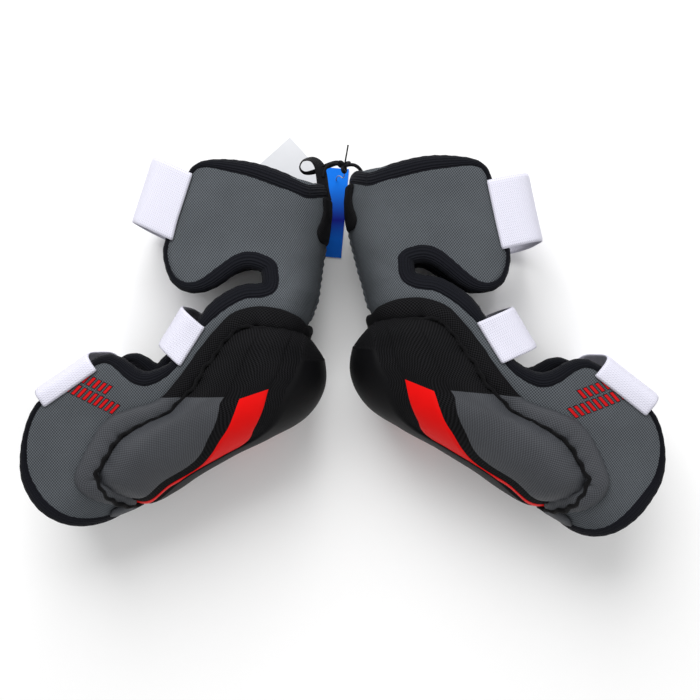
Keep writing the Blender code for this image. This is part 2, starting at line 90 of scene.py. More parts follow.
# Edge band on the near wall, from the cuff's top round its front and the notch, and on down the guard's front
# to the wrist: x, y, half width. Between the two it passes the neck, at a distance from the spine.
BAND = {
    "cuff": [
        (14.3, 41.4, 5.2), (-5.5, 48.8, 5.1), (-18.2, 53.2, 4.8), (-28.8, 55.7, 4.3), (-38.7, 57.4, 3),
        (-46.2, 56.5, 1.9), (-51.4, 52.4, 1.5), (-57.8, 34, 1.4), (-64.9, 15.2, 1.5), (-67.1, 9.2, 1.5),
        (-67.1, 3.7, 1.5), (-65.4, -2.9, 1.7), (-61.6, -7.8, 2.2), (-55.8, -10.2, 3), (-49, -9.4, 4),
        (-41.8, -5.6, 4.8), (-34.6, -0.8, 4.9), (-27.6, 3.3, 5.1), (-19.8, 5, 5.4), (-12.8, 3.2, 5.4),
        (-8.9, -1.6, 5.4),
    ],
    "guard": [
        (-9.8, -12.2, 5.4), (-15.9, -13.5, 5.3), (-21.5, -13.4, 5.4), (-27.5, -15.6, 5.4),
        (-35.5, -20.5, 5.2), (-41.8, -26, 4.4), (-47.3, -32.6, 3), (-54.5, -42.2, 2.4), (-61, -53.4, 2.6),
        (-67.5, -58.2, 3.4), (-76, -61.3, 4.2), (-83, -58, 4.2), (-90, -52.8, 3.6), (-97, -49.4, 2.6),
        (-105, -51.6, 1.9), (-119.5, -62.4, 1.6), (-134, -72.6, 1.6), (-139.2, -79.9, 1.6),
        (-142.7, -89.8, 1.6), (-144.1, -98.6, 2.3), (-144.4, -106.3, 2.8), (-143.3, -114.6, 3.4),
        (-140.3, -121.7, 3.9), (-135.9, -128.6, 4.2), (-129.3, -134.9, 4.3),
    ],
}
NECK_EDGE, NECK_HALF = 25.3, 5.4
CUFF_TOP_S, WRIST_S = 0.6, 13.5

# Elbow cap on the near wall: the padded rim, as x, y and half width, and the dome's lines from the rim to the
# spine. Every line runs from the cap's upper end to the wrist.
RIM = [
    (2, -30.6, 5.2), (-8, -28.4, 6.0), (-17, -27.6, 5.8), (-26.5, -30.0, 5.4), (-35.5, -37.3, 4.6),
    (-43.2, -47.3, 4.6), (-54.5, -62.6, 4.7), (-64.5, -73.8, 4.8), (-73.5, -79, 5.2), (-84, -82.4, 5.8),
    (-95, -87.8, 6.2), (-102, -98, 6.2), (-107, -107, 6.0), (-110, -114.5, 6.0), (-106.5, -120, 5.8),
    (-100.2, -124.6, 5.2), (-91, -131, 4.2),
]
RIM_SPINE, RIM_STEP = (2.75, 12.75), 1.3
DOME_LINES = [
    [(-25, -32.5), (-32, -39), (-39, -49), (-46, -58), (-56, -71), (-64, -79), (-75, -83.6), (-85, -88.8),
     (-91.4, -93.6), (-97.8, -102.8), (-104.2, -112.4)],
    [(-12, -32), (-17, -41.5), (-22, -51), (-27, -61), (-32, -71), (-35, -79.5), (-39.5, -91), (-46, -103),
     (-54, -110.5), (-68, -119), (-88, -129)],
    [(-4, -32.5), (-9, -42.5), (-14, -53), (-19, -62), (-24, -72), (-28, -82), (-34, -93), (-41, -104),
     (-50, -113.5), (-66, -123), (-87, -132.3)],
    [(3, -33.5), (1, -42.5), (-2, -51), (-5, -59), (-9, -67), (-12, -78), (-17, -89), (-24, -99.5),
     (-42, -111.5), (-66, -124.4), (-87, -133.5)],
    [(8, -34.6), (8, -43.5), (7, -51), (5, -58), (1, -66), (-3, -76), (-7, -86), (-16, -95), (-34, -105),
     (-58, -119), (-86, -134.5)],
]
DOME_SPINE = [2.95, 3.6, 4.2, 4.8, 5.3, 5.9, 6.6, 7.5, 8.9, 10.7, 12.55]
SPLIT_Y = -71.0
STRIPE_TOP = ((-24, -72), (-9, -67))
DOME_HIGH, DOME_SEAM, DOME_ROUND = 11.6, 1.2, 15.0
SPINE_BUMP, SPINE_SLIM = 2.0, 3.8

# Straps: section, ends of the sewn root on the front edge and length of the tail.
STRAPS = {
    "cuff": ("cuff", ((-52, 52), (-64, 15)), 18.0),
    "elbow": ("guard", ((-46, -32), (-59, -53)), 5.5),
    "forearm": ("guard", ((-104, -54), (-133, -74)), 14.0),
}
# How each strap lies: how far the loop stands out, its skew in degrees, and how far its root has slid down.
STRAP_LIES = {
    "left": {"cuff": (25.5, -7.0, 0.0), "elbow": (17.5, -10.0, 0.0), "forearm": (10.4, 0.0, 0.0)},
    "right": {"cuff": (24.5, 0.0, 4.0), "elbow": (20.5, 0.0, 0.0), "forearm": (13.0, 0.0, 0.0)},
}
# Soft give of each pad as it lies, in its own frame: how far the cuff leans and the wrist's end reaches.
GIVE = {
    "left": {"cuff": (-3.0, 1.8), "guard": (0.0, -1.5)},
    "right": {"cuff": (1.5, 1.6), "guard": (-10.0, -3.5)},
}
# Dents and bulges of the soft wrist's end: middle, reach, and how far it is pushed.
DENTS = {
    "left": [],
    "right": [((-138.0, -126.0), 24.0, (3.6, 2.0)), ((-108.0, -140.0), 18.0, (0.0, -3.5))],
}
STRAP_THICK, LOOP_POWER = 1.5, 0.5
# How far the far wall of each section reaches past the near one: at the elbow opening in millimetres, and at
# the notch in ribs.
FAR_FLAP = {"left": 15.0, "right": 8.5}
FAR_NOTCH = {"left": 1.25, "right": 0.4}


# ---------------------------------------------------------------- materials

class Nodes:
    """Small helper that adds linked shader nodes."""

    def __init__(self, name):
        self.mat = bpy.data.materials.new(name)
        self.mat.use_nodes = True
        self.tree = self.mat.node_tree
        self.shader = self.tree.nodes["Principled BSDF"]

    def add(self, kind, inputs=(), **settings):
        node = self.tree.nodes.new("ShaderNode" + kind)
        for key, value in settings.items():
            setattr(node, key, value)
        for key, value in dict(inputs).items():
            if isinstance(value, bpy.types.NodeSocket):
                self.tree.links.new(value, node.inputs[key])
            else:
                node.inputs[key].default_value = value
        return node

    def math(self, operation, *values):
        return self.add("Math", dict(enumerate(values)), operation=operation).outputs[0]

    def uv(self):
        parts = self.add("SeparateXYZ", {0: self.add("UVMap", uv_map="cloth").outputs["UV"]})
        return parts.outputs["X"], parts.outputs["Y"]

    def noise(self, scale, detail=3.0, vector=None):
        vector = vector or self.add("TexCoord").outputs["Object"]
        return self.add("TexNoise", {"Vector": vector, "Scale": scale, "Detail": detail}).outputs["Fac"]

    def wave(self, value, period):
        """Sine of a length, as a number from -1 to 1."""
        return self.math("SINE", self.math("MULTIPLY", value, 2 * math.pi / period))

    def blend(self, factor, low, high):
        mix = self.add("Mix", data_type="RGBA")
        sockets = {socket.identifier: socket for socket in mix.inputs}
        self.tree.links.new(factor, sockets["Factor_Float"])
        sockets["A_Color"].default_value, sockets["B_Color"].default_value = (*low, 1), (*high, 1)
        return next(socket for socket in mix.outputs if socket.identifier == "Result_Color")

    def total(self, *terms):
        """Sum of (value, weight) terms."""
        sums = [self.math("MULTIPLY", value, weight) for value, weight in terms]
        while len(sums) > 1:
            sums[:2] = [self.math("ADD", sums[0], sums[1])]
        return sums[0]

    def shade(self, value, colour, contrast):
        """The colour, darker where the value is 0 and lighter where it is 1."""
        low, high = (tuple(c * k for c in colour) for k in (1 - contrast, 1 + contrast))
        return self.blend(self.add("Clamp", {"Value": value}).outputs[0], low, high)

    def finish(self, colour, rough, height=None, depth=0.0003, sheen=0.0, specular=0.5, strength=0.8):
        self.shader.inputs["Roughness"].default_value = rough
        self.shader.inputs["Sheen Weight"].default_value = sheen
        self.shader.inputs["Sheen Roughness"].default_value = 0.5
        self.shader.inputs["Specular IOR Level"].default_value = specular
        if isinstance(colour, bpy.types.NodeSocket):
            self.tree.links.new(colour, self.shader.inputs["Base Color"])
        else:
            self.shader.inputs["Base Color"].default_value = (*colour, 1)
        if height is not None:
            bump = self.add("Bump", {"Height": height, "Distance": depth, "Strength": strength})
            self.tree.links.new(bump.outputs["Normal"], self.shader.inputs["Normal"])
        return self.mat


def woven(name, colour, period, contrast, rough=0.85, depth=0.0004, specular=0.15):
    """Plain weave: threads pass over and under each other, with slow changes of shade."""
    n = Nodes(name)
    u, v = n.uv()
    weave = n.math("MULTIPLY", n.wave(u, period), n.wave(v, period * 1.15))
    slow, fibre = n.noise(45.0, 4.0), n.noise(2600.0, 2.0)
    tone = n.shade(n.total((weave, 0.75), (slow, 0.5), (fibre, 0.5)), colour, contrast)
    return n.finish(tone, rough, n.total((weave, 0.6), (fibre, 0.4)), depth, 0.0, specular)


def ribbed(name, colour, period, across=1, rough=0.8, sheen=0.02):
    """Knit or braid with fine ribs; across picks the direction that the ribs repeat along."""
    n = Nodes(name)
    u, v = n.uv()
    stitch = n.wave((v, u)[across], period * 0.7)
    height = n.total((n.wave((u, v)[across], period), 1.0), (stitch, 0.35))
    tone = n.shade(n.total((height, 0.22), (n.noise(1800.0, 2.0), 0.9)), colour, 0.4)
    return n.finish(tone, rough, height, 0.00025, sheen, 0.12)


def grained(name, colour, rough, grain=900.0, depth=0.00012, contrast=0.12, sheen=0.0, specular=0.5):
    """Synthetic leather or rubbery film: fine pebble grain, and shallow creases."""
    n = Nodes(name)
    place = n.add("TexCoord").outputs["Object"]
    cells = n.add("TexVoronoi", {"Vector": place, "Scale": grain}, feature="SMOOTH_F1").outputs["Distance"]
    creases = n.noise(120.0, 5.0, place)
    height = n.total((cells, -1.0), (creases, 1.2))
    return n.finish(n.shade(creases, colour, contrast), rough, height, depth, sheen, specular, 0.6)


def elastic_webbing():
    """White elastic: fine ribs across it, a herringbone of covered rubber threads, and darker gaps."""
    n = Nodes("white_elastic")
    u, v = n.uv()
    ribs = n.wave(u, 1.1)
    height = n.total((n.math("MULTIPLY", ribs, n.wave(v, 1.5)), 0.6), (ribs, 0.35))
    tone = n.math("ADD", n.math("MULTIPLY", height, 0.35), 0.6)
    tone = n.blend(n.add("Clamp", {"Value": tone}).outputs[0], (0.42, 0.42, 0.52), (0.80, 0.79, 0.88))
    return n.finish(tone, 0.8, height, 0.0003, 0.05, 0.2, 0.6)


def tag_gradient():
    """Coated card, printed with a fade from light to dark blue down its length."""
    n = Nodes("blue_card")
    low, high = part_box("hang_tag")
    parts = n.add("SeparateXYZ", {0: n.add("TexCoord").outputs["Object"]})
    fade = n.add("MapRange", {0: parts.outputs["Y"], 1: low.y + 0.012, 2: high.y - 0.014, 3: 0.0, 4: 1.0})
    ramp = n.add("ValToRGB", {0: fade.outputs[0]})
    ramp.color_ramp.elements[0].color = (0.0, 0.11, 0.56, 1)
    ramp.color_ramp.elements[1].color = (0.0, 0.17, 0.78, 1)
    middle = ramp.color_ramp.elements.new(0.34)
    middle.color = (0.003, 0.006, 0.20, 1)
    return n.finish(ramp.outputs["Color"], 0.5, n.noise(900.0), 0.00003, specular=0.1)


GREY_CLOTH = woven("grey_woven", (0.076, 0.084, 0.093), 1.5, 0.5, specular=0.08)
BLACK_CLOTH = woven("black_woven", (0.0070, 0.0070, 0.0078), 1.5, 0.8, specular=0.06)
LINING = ribbed("lining", (0.004, 0.004, 0.006), 1.6, rough=0.9, sheen=0.01)
BAND_KNIT = ribbed("edge_knit", (0.0042, 0.0048, 0.0080), 1.3, across=0, rough=0.75, sheen=0.01)
GREY_LEATHER = woven("grey_leather", (0.050, 0.053, 0.060), 1.35, 0.4, 0.5, 0.0002, 0.2)
RED_FILM = grained("red_film", (0.72, 0.0012, 0.0008), 0.5, 500.0, 0.00004, 0.05, specular=0.12)
BLACK_FILM = grained("black_film", (0.0032, 0.0032, 0.0038), 0.55, 600.0, 0.00006, specular=0.10)
PRINT_RED = grained("red_print", (0.50, 0.004, 0.006), 0.55, 700.0, 0.00005, 0.2, specular=0.12)
THREAD = ribbed("black_thread", (0.004, 0.004, 0.005), 0.8, rough=0.6)
ELASTIC = elastic_webbing()
HOOKS = grained("hook_and_loop", (0.007, 0.007, 0.008), 0.95, 1500.0, 0.0005, 0.4, 0.02, 0.1)
RIBBON = ribbed("ribbon", (0.0055, 0.0055, 0.007), 0.9, across=0, rough=0.6)
STRING = grained("tag_string", (0.30, 0.30, 0.31), 0.5)
BLUE_CARD = tag_gradient()
WHITE_CARD = grained("white_card", (0.66, 0.67, 0.70), 0.6, 300.0, 0.00003, 0.03)


# ---------------------------------------------------------------- the folded sheet

def smooth_step(x):
    x = min(1.0, max(0.0, x))
    return x * x * (3 - 2 * x)


def spline(points, s):
    """Smooth curve through the points, at a fractional index."""
    last = len(points) - 1
    i = int(min(max(math.floor(s), 0), last - 1))
    k = s - i
    p = [points[min(max(j, 0), last)] for j in (i - 1, i, i + 1, i + 2)]
    return tuple(
        0.5 * (2 * b + (c - a) * k + (2 * a - 5 * b + 4 * c - d) * k * k + (3 * b - a - 3 * c + d) * k ** 3)
        for a, b, c, d in zip(*p))


class Sheet:
    """One section's outer face. s runs along the ribs, and t from the far edge at -1, by the spine at 0,
    to the near edge at 1."""

    def __init__(self, ribs, keys, bend):
        self.ribs, self.keys, self.bend = ribs, keys, bend

    def depth(self, s):
        for low, high in zip(self.keys, self.keys[1:]):
            if s <= high[0]:
                k = smooth_step((s - low[0]) / (high[0] - low[0]))
                return [a + (b - a) * k for a, b in zip(low[1:], high[1:])]
        return list(self.keys[-1][1:])

    def rib(self, s):
        """A rib's spine point, direction and length."""
        bx, by, fx, fy = spline(self.ribs, s)
        length = math.hypot(fx - bx, fy - by)
        return bx, by, (fx - bx) / length, (fy - by) / length, length

    def point(self, s, t):
        bx, by, ex, ey, length = self.rib(s)
        mid, half, rounding, flare = self.depth(s)
        a = abs(t)
        if a < 0.5:
            angle = a * math.pi
            d, h = rounding * (1 - math.cos(angle)), half * math.sin(angle)
        else:
            k = (a - 0.5) * 2
            d, h = rounding + (length - rounding) * k, half + flare * smooth_step(k)
        bow = self.bend(s, min(1.0, d / length))
        return Vector((bx + ex * d - ey * bow, by + ey * d + ex * bow, mid + math.copysign(h, t)))

    def normal(self, s, t):
        step = 0.02
        along = self.point(s + step, t) - self.point(s - step, t)
        across = self.point(s, t + step) - self.point(s, t - step)
        return across.cross(along).normalized()

    def on(self, s, t, offset=0.0):
        """Point at a distance outside the outer face."""
        return self.point(s, t) + self.normal(s, t) * offset

    def t_at(self, s, distance):
        """t at a distance from the spine, measured along the rib."""
        rounding = self.depth(s)[2]
        if distance < rounding:
            return math.acos(1 - distance / rounding) / math.pi
        return 0.5 + 0.5 * (distance - rounding) / (self.rib(s)[-1] - rounding)

    def mark(self, s, t):
        """Weave mark of a place: flat on the walls, and let out round the spine by the arc's extra length."""
        _, _, ex, ey, _ = self.rib(s)
        _, half, rounding, _ = self.depth(s)
        root = math.sqrt((3 * rounding + half) * (rounding + 3 * half))
        quarter = math.pi / 4 * (3 * (rounding + half) - root)
        turn = min(1.0, 2 * abs(t))
        extra = quarter * turn - rounding * (1 - math.cos(turn * math.pi / 2)) - (quarter - rounding)
        p = self.point(s, t)
        return p.x + ex * extra, p.y + ey * extra

    def edge_t(self, s, inset):
        """t of the line that stays a given distance inside the front edge."""
        _, _, ex, ey, length = self.rib(s)
        ahead, behind = spline(self.ribs, s + 0.1), spline(self.ribs, s - 0.1)
        edge = Vector((ahead[2] - behind[2], ahead[3] - behind[3]))
        slant = abs(Vector((ex, ey)).cross(edge.normalized()))
        return self.t_at(s, length - inset / max(0.55, slant))


def wrist_bow(s, share):
    low, high = WRIST_BOW_RIBS
    sharpness = 0.55 if share < 0.5 else 1.0
    return WRIST_BOW * smooth_step((s - low) / (high - low)) * (4 * share * (1 - share)) ** sharpness


def notch_lift(s, share):
    low, high = NOTCH_LIFT_RIBS
    return -NOTCH_LIFT * smooth_step((s - low) / (high - low)) * math.exp(-((share - 0.47) / 0.17) ** 2)


CUFF = Sheet(CUFF_RIBS, CUFF_DEPTH, notch_lift)
GUARD = Sheet(GUARD_RIBS, GUARD_DEPTH, wrist_bow)
SHEETS = {"cuff": CUFF, "guard": GUARD}


AROUND = [(a, b) for a in (0, -1, 1) for b in (0, -1, 1)]


def locate(surface, target, low, high):
    """Parameters (a, b) at which the surface lies over a point of the plane, by ever smaller steps."""
    def miss(ab):
        p = surface(*ab)
        return math.hypot(p.x - target[0], p.y - target[1])
    steps = 12
    reach = [(high[k] - low[k]) / steps for k in (0, 1)]
    best = min(((low[0] + reach[0] * i, low[1] + reach[1] * j)
                for i in range(steps + 1) for j in range(steps + 1)), key=miss)
    for _ in range(22):
        best = min((tuple(min(high[k], max(low[k], best[k] + way[k] * reach[k])) for k in (0, 1))
                    for way in AROUND), key=miss)
        reach = [r * 0.72 for r in reach]
    return best


# ---------------------------------------------------------------- building pieces

class Skin:
    """Collects grids of points into one mesh, with the weave's UVs in millimetres."""

    def __init__(self):
        self.bm = bmesh.new()
        self.uv = self.bm.loops.layers.uv.new("cloth")

    def grid(self, points, cloth, material=0):
        """Faces between rows of points. cloth gives each point's (u, v); material is a slot or a function."""
        verts = [[self.bm.verts.new(p) for p in row] for row in points]
        for i in range(len(verts) - 1):
            for j in range(len(verts[i]) - 1):
                corners = [(i, j), (i, j + 1), (i + 1, j + 1), (i + 1, j)]
                face = self.bm.faces.new([verts[a][b] for a, b in corners])
                face.material_index = material(i, j) if callable(material) else material
                face.smooth = True
                for loop, (a, b) in zip(face.loops, corners):
                    loop[self.uv].uv = cloth[a][b]
        return verts

    def split(self, faces, point, normal):
        """Cuts faces along a plane, for a crisp edge between two materials."""
        edges = {e for f in faces for e in f.edges}
        verts = {v for f in faces for v in f.verts}
        bmesh.ops.bisect_plane(self.bm, geom=list(faces) + list(edges) + list(verts), plane_co=point,
                               plane_no=normal, dist=1e-4)

    def piece(self, name, materials, place=None, merge=0.004):
        """Finished object. place takes a point from millimetres to the row frame, if it isn't there yet."""
        bmesh.ops.remove_doubles(self.bm, verts=self.bm.verts, dist=merge)
        for vert in self.bm.verts if place else ():
            vert.co = place(vert.co)
        bmesh.ops.recalc_face_normals(self.bm, faces=self.bm.faces)
        mesh = bpy.data.meshes.new(name)
        self.bm.to_mesh(mesh)
        self.bm.free()
        for mat in materials:
            mesh.materials.append(mat)
        obj = bpy.data.objects.new(name, mesh)
        bpy.context.scene.collection.objects.link(obj)
        return obj


class Pad:
    """One pad: how its two sections lie in the row frame."""

    def __init__(self, side):
        self.side, self.name = side, side + "_"
        self.flip = 1.0 if side == "left" else -1.0
        hinge = Vector(JOINTS[side + "_elbow_flex"]["pos_m"])
        self.frames = {}
        for section in ("cuff", "guard"):
            slip = CUFF_SLIP[side] * MM if section == "cuff" else 0.0
            self.frames[section] = (
                Matrix.Translation((hinge.x + slip, hinge.y, 0.0))
                @ Matrix.Rotation(math.radians(TURN[side][section]), 4, "Z")
                @ Matrix.Diagonal((self.flip * MM, MM, MM, 1.0)))

    def put(self, section, point):
        if section == "neck":
            return (self.frames["cuff"] @ point + self.frames["guard"] @ point) / 2
        give = Vector((*GIVE[self.side][section], 0.0))
        give *= smooth_step((point.y + 12) / 40 if section == "cuff" else (-10 - point.x) / 110)
        for middle, reach, push in DENTS[self.side] if section == "guard" else ():
            away = math.dist(point[:2], middle) / reach
            give += Vector((*push, 0.0)) * math.exp(-away * away)
        return self.frames[section] @ (point + give)

    def bend(self, obj):
        """Bakes the piece's placement into its mesh. The two points across the neck, past the cuff's lobe and
        short of the forearm's front, are worked out but not used.
        """
        across = Vector((0.342, -0.940, 0.0))
        self.put("neck", across * -6.0)
        self.put("neck", across * 8.0)
        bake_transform(obj)

    def hand_over(self, obj, slot, replaced=(), body=None, fill=None):
        """Hides the parts that a piece replaces. It rides on a body, or else has its placement baked in."""
        if replaced:
            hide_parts(*(self.name + node for node in replaced))
        if body:
            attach(obj, self.name + body)
        else:
            self.bend(obj)


# Length of cloth round a roll or thread.
TUBE_GIRTH = 30.0


def sweep(skin, path, sides, profile, closed=True, unit=1.0):
    """Tube along path, a list of (centre, side vector, up vector). profile(angle, i) gives (side, up)
    lengths, and unit is a millimetre in the path's own units."""
    rows, cloth, run = [], [], 0.0
    for i, (centre, side, up, *_) in enumerate(path):
        if i:
            run += (centre - path[i - 1][0]).length
        ring, marks = [], []
        for k in range(sides + 1):
            a, b = profile(2 * math.pi * k / sides, i)
            ring.append(centre + side * a + up * b)
            marks.append((k / sides * TUBE_GIRTH, run / unit))
        rows.append(ring)
        cloth.append(marks)
    if closed:
        rows.append(rows[0])
        cloth.append([(u, run + 1) for u, _ in cloth[0]])
    skin.grid(rows, cloth)


def tube_path(ring, reach, unit=1.0):
    """Path for sweep() round a closed ring of (place, up vector, further values); reach is how many points
    ahead and behind give the direction."""
    count, path = len(ring), []
    for i, values in enumerate(ring):
        here, ahead, behind = (Vector(ring[(i + d) % count][:3]) for d in (0, reach, -reach))
        along = (ahead - behind).normalized()
        across = along.cross(Vector(values[3:6]).normalized()).normalized()
        path.append((here * unit, across * unit, across.cross(along).normalized() * unit, *values[6:]))
    return path


def resampled(points, step):
    """Points spaced evenly along a smooth curve through control points of any dimension; the first three
    numbers are the place."""
    fine = [spline(points, i / 12) for i in range((len(points) - 1) * 12 + 1)]
    runs = [0.0]
    for a, b in zip(fine, fine[1:]):
        runs.append(runs[-1] + math.dist(a[:3], b[:3]))
    count = max(2, round(runs[-1] / step))
    out, j = [], 0
    for i in range(count + 1):
        want = runs[-1] * i / count
        while j < len(runs) - 2 and runs[j + 1] < want:
            j += 1
        k = (want - runs[j]) / max(1e-9, runs[j + 1] - runs[j])
        out.append(tuple(a + (b - a) * min(1.0, max(0.0, k)) for a, b in zip(fine[j], fine[j + 1])))
    return out


# ---------------------------------------------------------------- padded shell of a pad

NECK_REACH = 27.0
CUFF_ROWS, NECK_ROWS, GUARD_ROWS = 34, 9, 74
CUFF_FIRST, CUFF_LAST = 0.5, 9.8
CENTRE_COLUMNS, WING_COLUMNS = 44, 15


def flap_share(side, s):
    """How much further than the near edge the guard's far edge reaches, in t."""
    reach = FAR_FLAP[side] * math.exp(-((s - 5.2) / 2.7) ** 2)
    return 0.5 * reach / (GUARD.rib(s)[-1] - GUARD.depth(s)[2])


def far_notch(side, s, t):
    """How much higher the far edge lies at the notch, in ribs."""
    return FAR_NOTCH[side] * smooth_step((s - 6.5) / 2.5) * smooth_step((abs(t) - 0.55) / 0.25)


def between(line, x):
    """Value at x on a line of (x, value) pairs, held level past its ends."""
    if x <= line[0][0]:
        return line[0][1]
    for low, high in zip(line, line[1:]):
        if x <= high[0]:
            return low[1] + (high[1] - low[1]) * (x - low[0]) / max(1e-6, high[0] - low[0])
    return line[-1][1]


def cuff_inset(s):
    return 3.2 - 2.2 * smooth_step((s - 4.2) / 1.6)


def soft_wave(point, size=28.0, strength=0.5):
    """Slight unevenness of padding, in millimetres."""
    return noise.noise(point / size) * strength


def shell(pad, places):
    """The sewn padded sheet: woven outside, black lining inside, from the cuff's top to the wrist. Its edges
    end under the band, whose (s, t) places give the lines for the front, the notch and the wrist."""
    side = pad.side
    skin = Skin()
    front = sorted((s, t) for section, s, t in places if section == "guard" and s < 12.6)
    front.insert(0, (0.0, GUARD.t_at(0.0, NECK_EDGE)))
    notch = sorted((t, s) for section, s, t in places if section == "cuff" and s > 7.8 and t < 0.96)
    wrist = sorted((t, s) for section, s, t in places if section == "guard" and s > 12.6)
    wrist.insert(0, (0.0, WRIST_S))

    def placed(section, s, t, offset):
        """Point of the outer face, slightly uneven, or of the lining."""
        sheet = SHEETS[section]
        if offset == 0.0:
            offset = soft_wave(sheet.point(s, t))
        return pad.put(section, sheet.on(s, t, offset))

    def centre_row(row, offset):
        """One row of the part that runs on from cuff to guard: points and their weave marks."""
        points, marks = [], []
        for j in range(CENTRE_COLUMNS + 1):
            x = 2 * j / CENTRE_COLUMNS - 1
            if row <= CUFF_ROWS:
                s = CUFF_FIRST + (CUFF_LAST - CUFF_FIRST) * row / CUFF_ROWS
                t = x * CUFF.t_at(s, NECK_REACH)
                points.append(placed("cuff", s, t, offset))
                marks.append(CUFF.mark(s, t))
            elif row < CUFF_ROWS + NECK_ROWS:
                k = (row - CUFF_ROWS) / NECK_ROWS
                t_up, t_low = x * CUFF.t_at(CUFF_LAST, NECK_REACH), x * between(front, 0.0)
                up = placed("cuff", CUFF_LAST, t_up, offset)
                low = placed("guard", 0, t_low, offset)
                points.append(up.lerp(low, k))
                ends = Vector(CUFF.mark(CUFF_LAST, t_up)), Vector(GUARD.mark(0, t_low))
                marks.append(tuple(ends[0].lerp(ends[1], k)))
            else:
                share = (row - CUFF_ROWS - NECK_ROWS) / GUARD_ROWS
                s = WRIST_S * share
                s = between(wrist, abs(x) * between(front, s)) * share
                t = x * (between(front, s) + (flap_share(side, s) if x < 0 else 0.0))
                points.append(placed("guard", s, t, offset))
                marks.append(GUARD.mark(s, t))
        return points, marks

    def wing_row(row, sign, offset):
        points, marks = [], []
        for j in range(WING_COLUMNS + 1):
            k = j / WING_COLUMNS
            inner, outer = CUFF.t_at(9.0, NECK_REACH), CUFF.edge_t(9.0, 1.0)
            t = inner + (outer - inner) * k
            last = CUFF_LAST + (between(notch, t) - CUFF_LAST) * smooth_step(k * 12)
            if sign < 0:
                last -= far_notch(side, last, t)
            s = CUFF_FIRST + (last - CUFF_FIRST) * row / CUFF_ROWS
            inner, outer = CUFF.t_at(s, NECK_REACH), CUFF.edge_t(s, cuff_inset(s))
            t = sign * (inner + (outer - inner) * k)
            points.append(placed("cuff", s, t, offset))
            marks.append(CUFF.mark(s, t))
        return points, marks

    rows = CUFF_ROWS + NECK_ROWS + GUARD_ROWS + 1
    faces = []
    for offset, slot in ((0.0, 0), (-PAD_THICK, 1)):
        parts = [[centre_row(i, offset) for i in range(rows)]]
        parts += [[wing_row(i, sign, offset) for i in range(CUFF_ROWS + 1)] for sign in (1, -1)]
        centre, *wings = [[points for points, _ in part] for part in parts]
        for part in parts:
            skin.grid([points for points, _ in part], [marks for _, marks in part], slot)
        faces.append((centre, wings))
    (outer, outer_wings), (inner, inner_wings) = faces

    def rim(a, b):
        """Edge between the two faces, hidden under the band."""
        marks = [(p.x / MM, p.y / MM) for p in a]
        skin.grid([a, b], [marks, marks], 1)
    rim(outer[0], inner[0])
    rim(outer[-1], inner[-1])
    for j in (0, -1):
        rim([row[j] for row in outer[CUFF_ROWS:]], [row[j] for row in inner[CUFF_ROWS:]])
    for a, b in zip(outer_wings, inner_wings):
        rim([row[-1] for row in a], [row[-1] for row in b])
        rim(a[0], b[0])
        rim(a[-1], b[-1])
    obj = skin.piece(pad.name + "padded_shell", [GREY_CLOTH, LINING], merge=1e-6)
    pad.hand_over(obj, "woven_cover", ("cuff_cover", "cuff_foam", "cuff_liner", "neck_gusset", "guard_cover",
                                       "guard_foam", "guard_liner"), fill=0.5)


# ---------------------------------------------------------------- edge band

def band_points(pad):
    """Centre line of the band: points on the near and far walls, each near one's (s, t), and its ends."""
    knots = {"neck": [(0.0, GUARD.t_at(0.0, NECK_EDGE), NECK_HALF)]}
    for section, line in BAND.items():
        sheet = SHEETS[section]
        knots[section] = [(*locate(sheet.point, (x, y), (0.3, 0.3), (len(sheet.ribs) - 1.2, 1.0)), half)
                          for x, y, half in line]
    near, far, places = [], [], []
    for section in ("cuff", "neck", "guard"):
        line, sheet = knots[section], SHEETS.get(section, GUARD)
        for i in range((len(line) - 1) * BAND_SPLIT + 1):
            s, t, half = spline(line, i / BAND_SPLIT) if len(line) > 1 else line[0]
            near.append((section, sheet.on(s, t, PAD_MIDDLE), sheet.normal(s, t), half))
            places.append((section, s, t))
            if section == "guard":
                t += flap_share(pad.side, s)
            elif section == "cuff":
                s -= far_notch(pad.side, s, t)
            far.append((section, sheet.on(s, -t, PAD_MIDDLE), sheet.normal(s, -t), half))
    ends = {"top": knots["cuff"][0][:2], "wrist": knots["guard"][-1][:2]}
    return near, far, places, ends


def over_spine(section, middle, end, half, count=9):
    """Band across the spine, from the near wall's last place to the far wall's."""
    sheet, out = SHEETS[section], []
    for k in range(count - 1, -count, -1):
        share = k / count
        s, t = middle + (end[0] - middle) * share ** 2, end[1] * share
        out.append((section, sheet.on(s, t, PAD_MIDDLE), sheet.normal(s, t), half))
    return out


def edge_band(pad, near, far, ends):
    """Rolled knit band round the whole edge: near wall, wrist, far wall, and back over the cuff's top."""
    wrist = over_spine("guard", WRIST_S, ends["wrist"], 4.1)
    top = over_spine("cuff", CUFF_TOP_S, ends["top"], 4.8)
    loop = near + wrist + far[::-1] + top[::-1]
    points = []
    for section, p, normal, half in loop:
        at = pad.put(section, p) / MM
        up = (pad.frames["guard" if section == "neck" else section].to_3x3() @ normal).normalized()
        points.append((*at, *up, half))
    ring = resampled([*points, points[0]], 1.6)[:-1]
    count = len(ring)
    for _ in range(3):
        ring = [tuple((a + 2 * b + c) / 4 for a, b, c in zip(ring[i - 1], ring[i], ring[(i + 1) % count]))
                for i in range(count)]
    path = tube_path(ring, 1, MM)

    def profile(angle, i):
        half = 0.35 + path[i][3] + 0.12 * math.sin(i * 1.7) + 0.25 * noise.noise(path[i][0] * 60)
        c, s = math.cos(angle), math.sin(angle)
        return (math.copysign(abs(c) ** 0.85, c) * half, math.copysign(abs(s) ** 0.8, s) * BAND_THICK)
    skin = Skin()
    sweep(skin, path, 22, profile, unit=MM)
    obj = skin.piece(pad.name + "edge_band", [BAND_KNIT], merge=1e-6)
    pad.hand_over(obj, "edge_binding", ("cuff_binding", "guard_binding"))


# ---------------------------------------------------------------- elbow cap

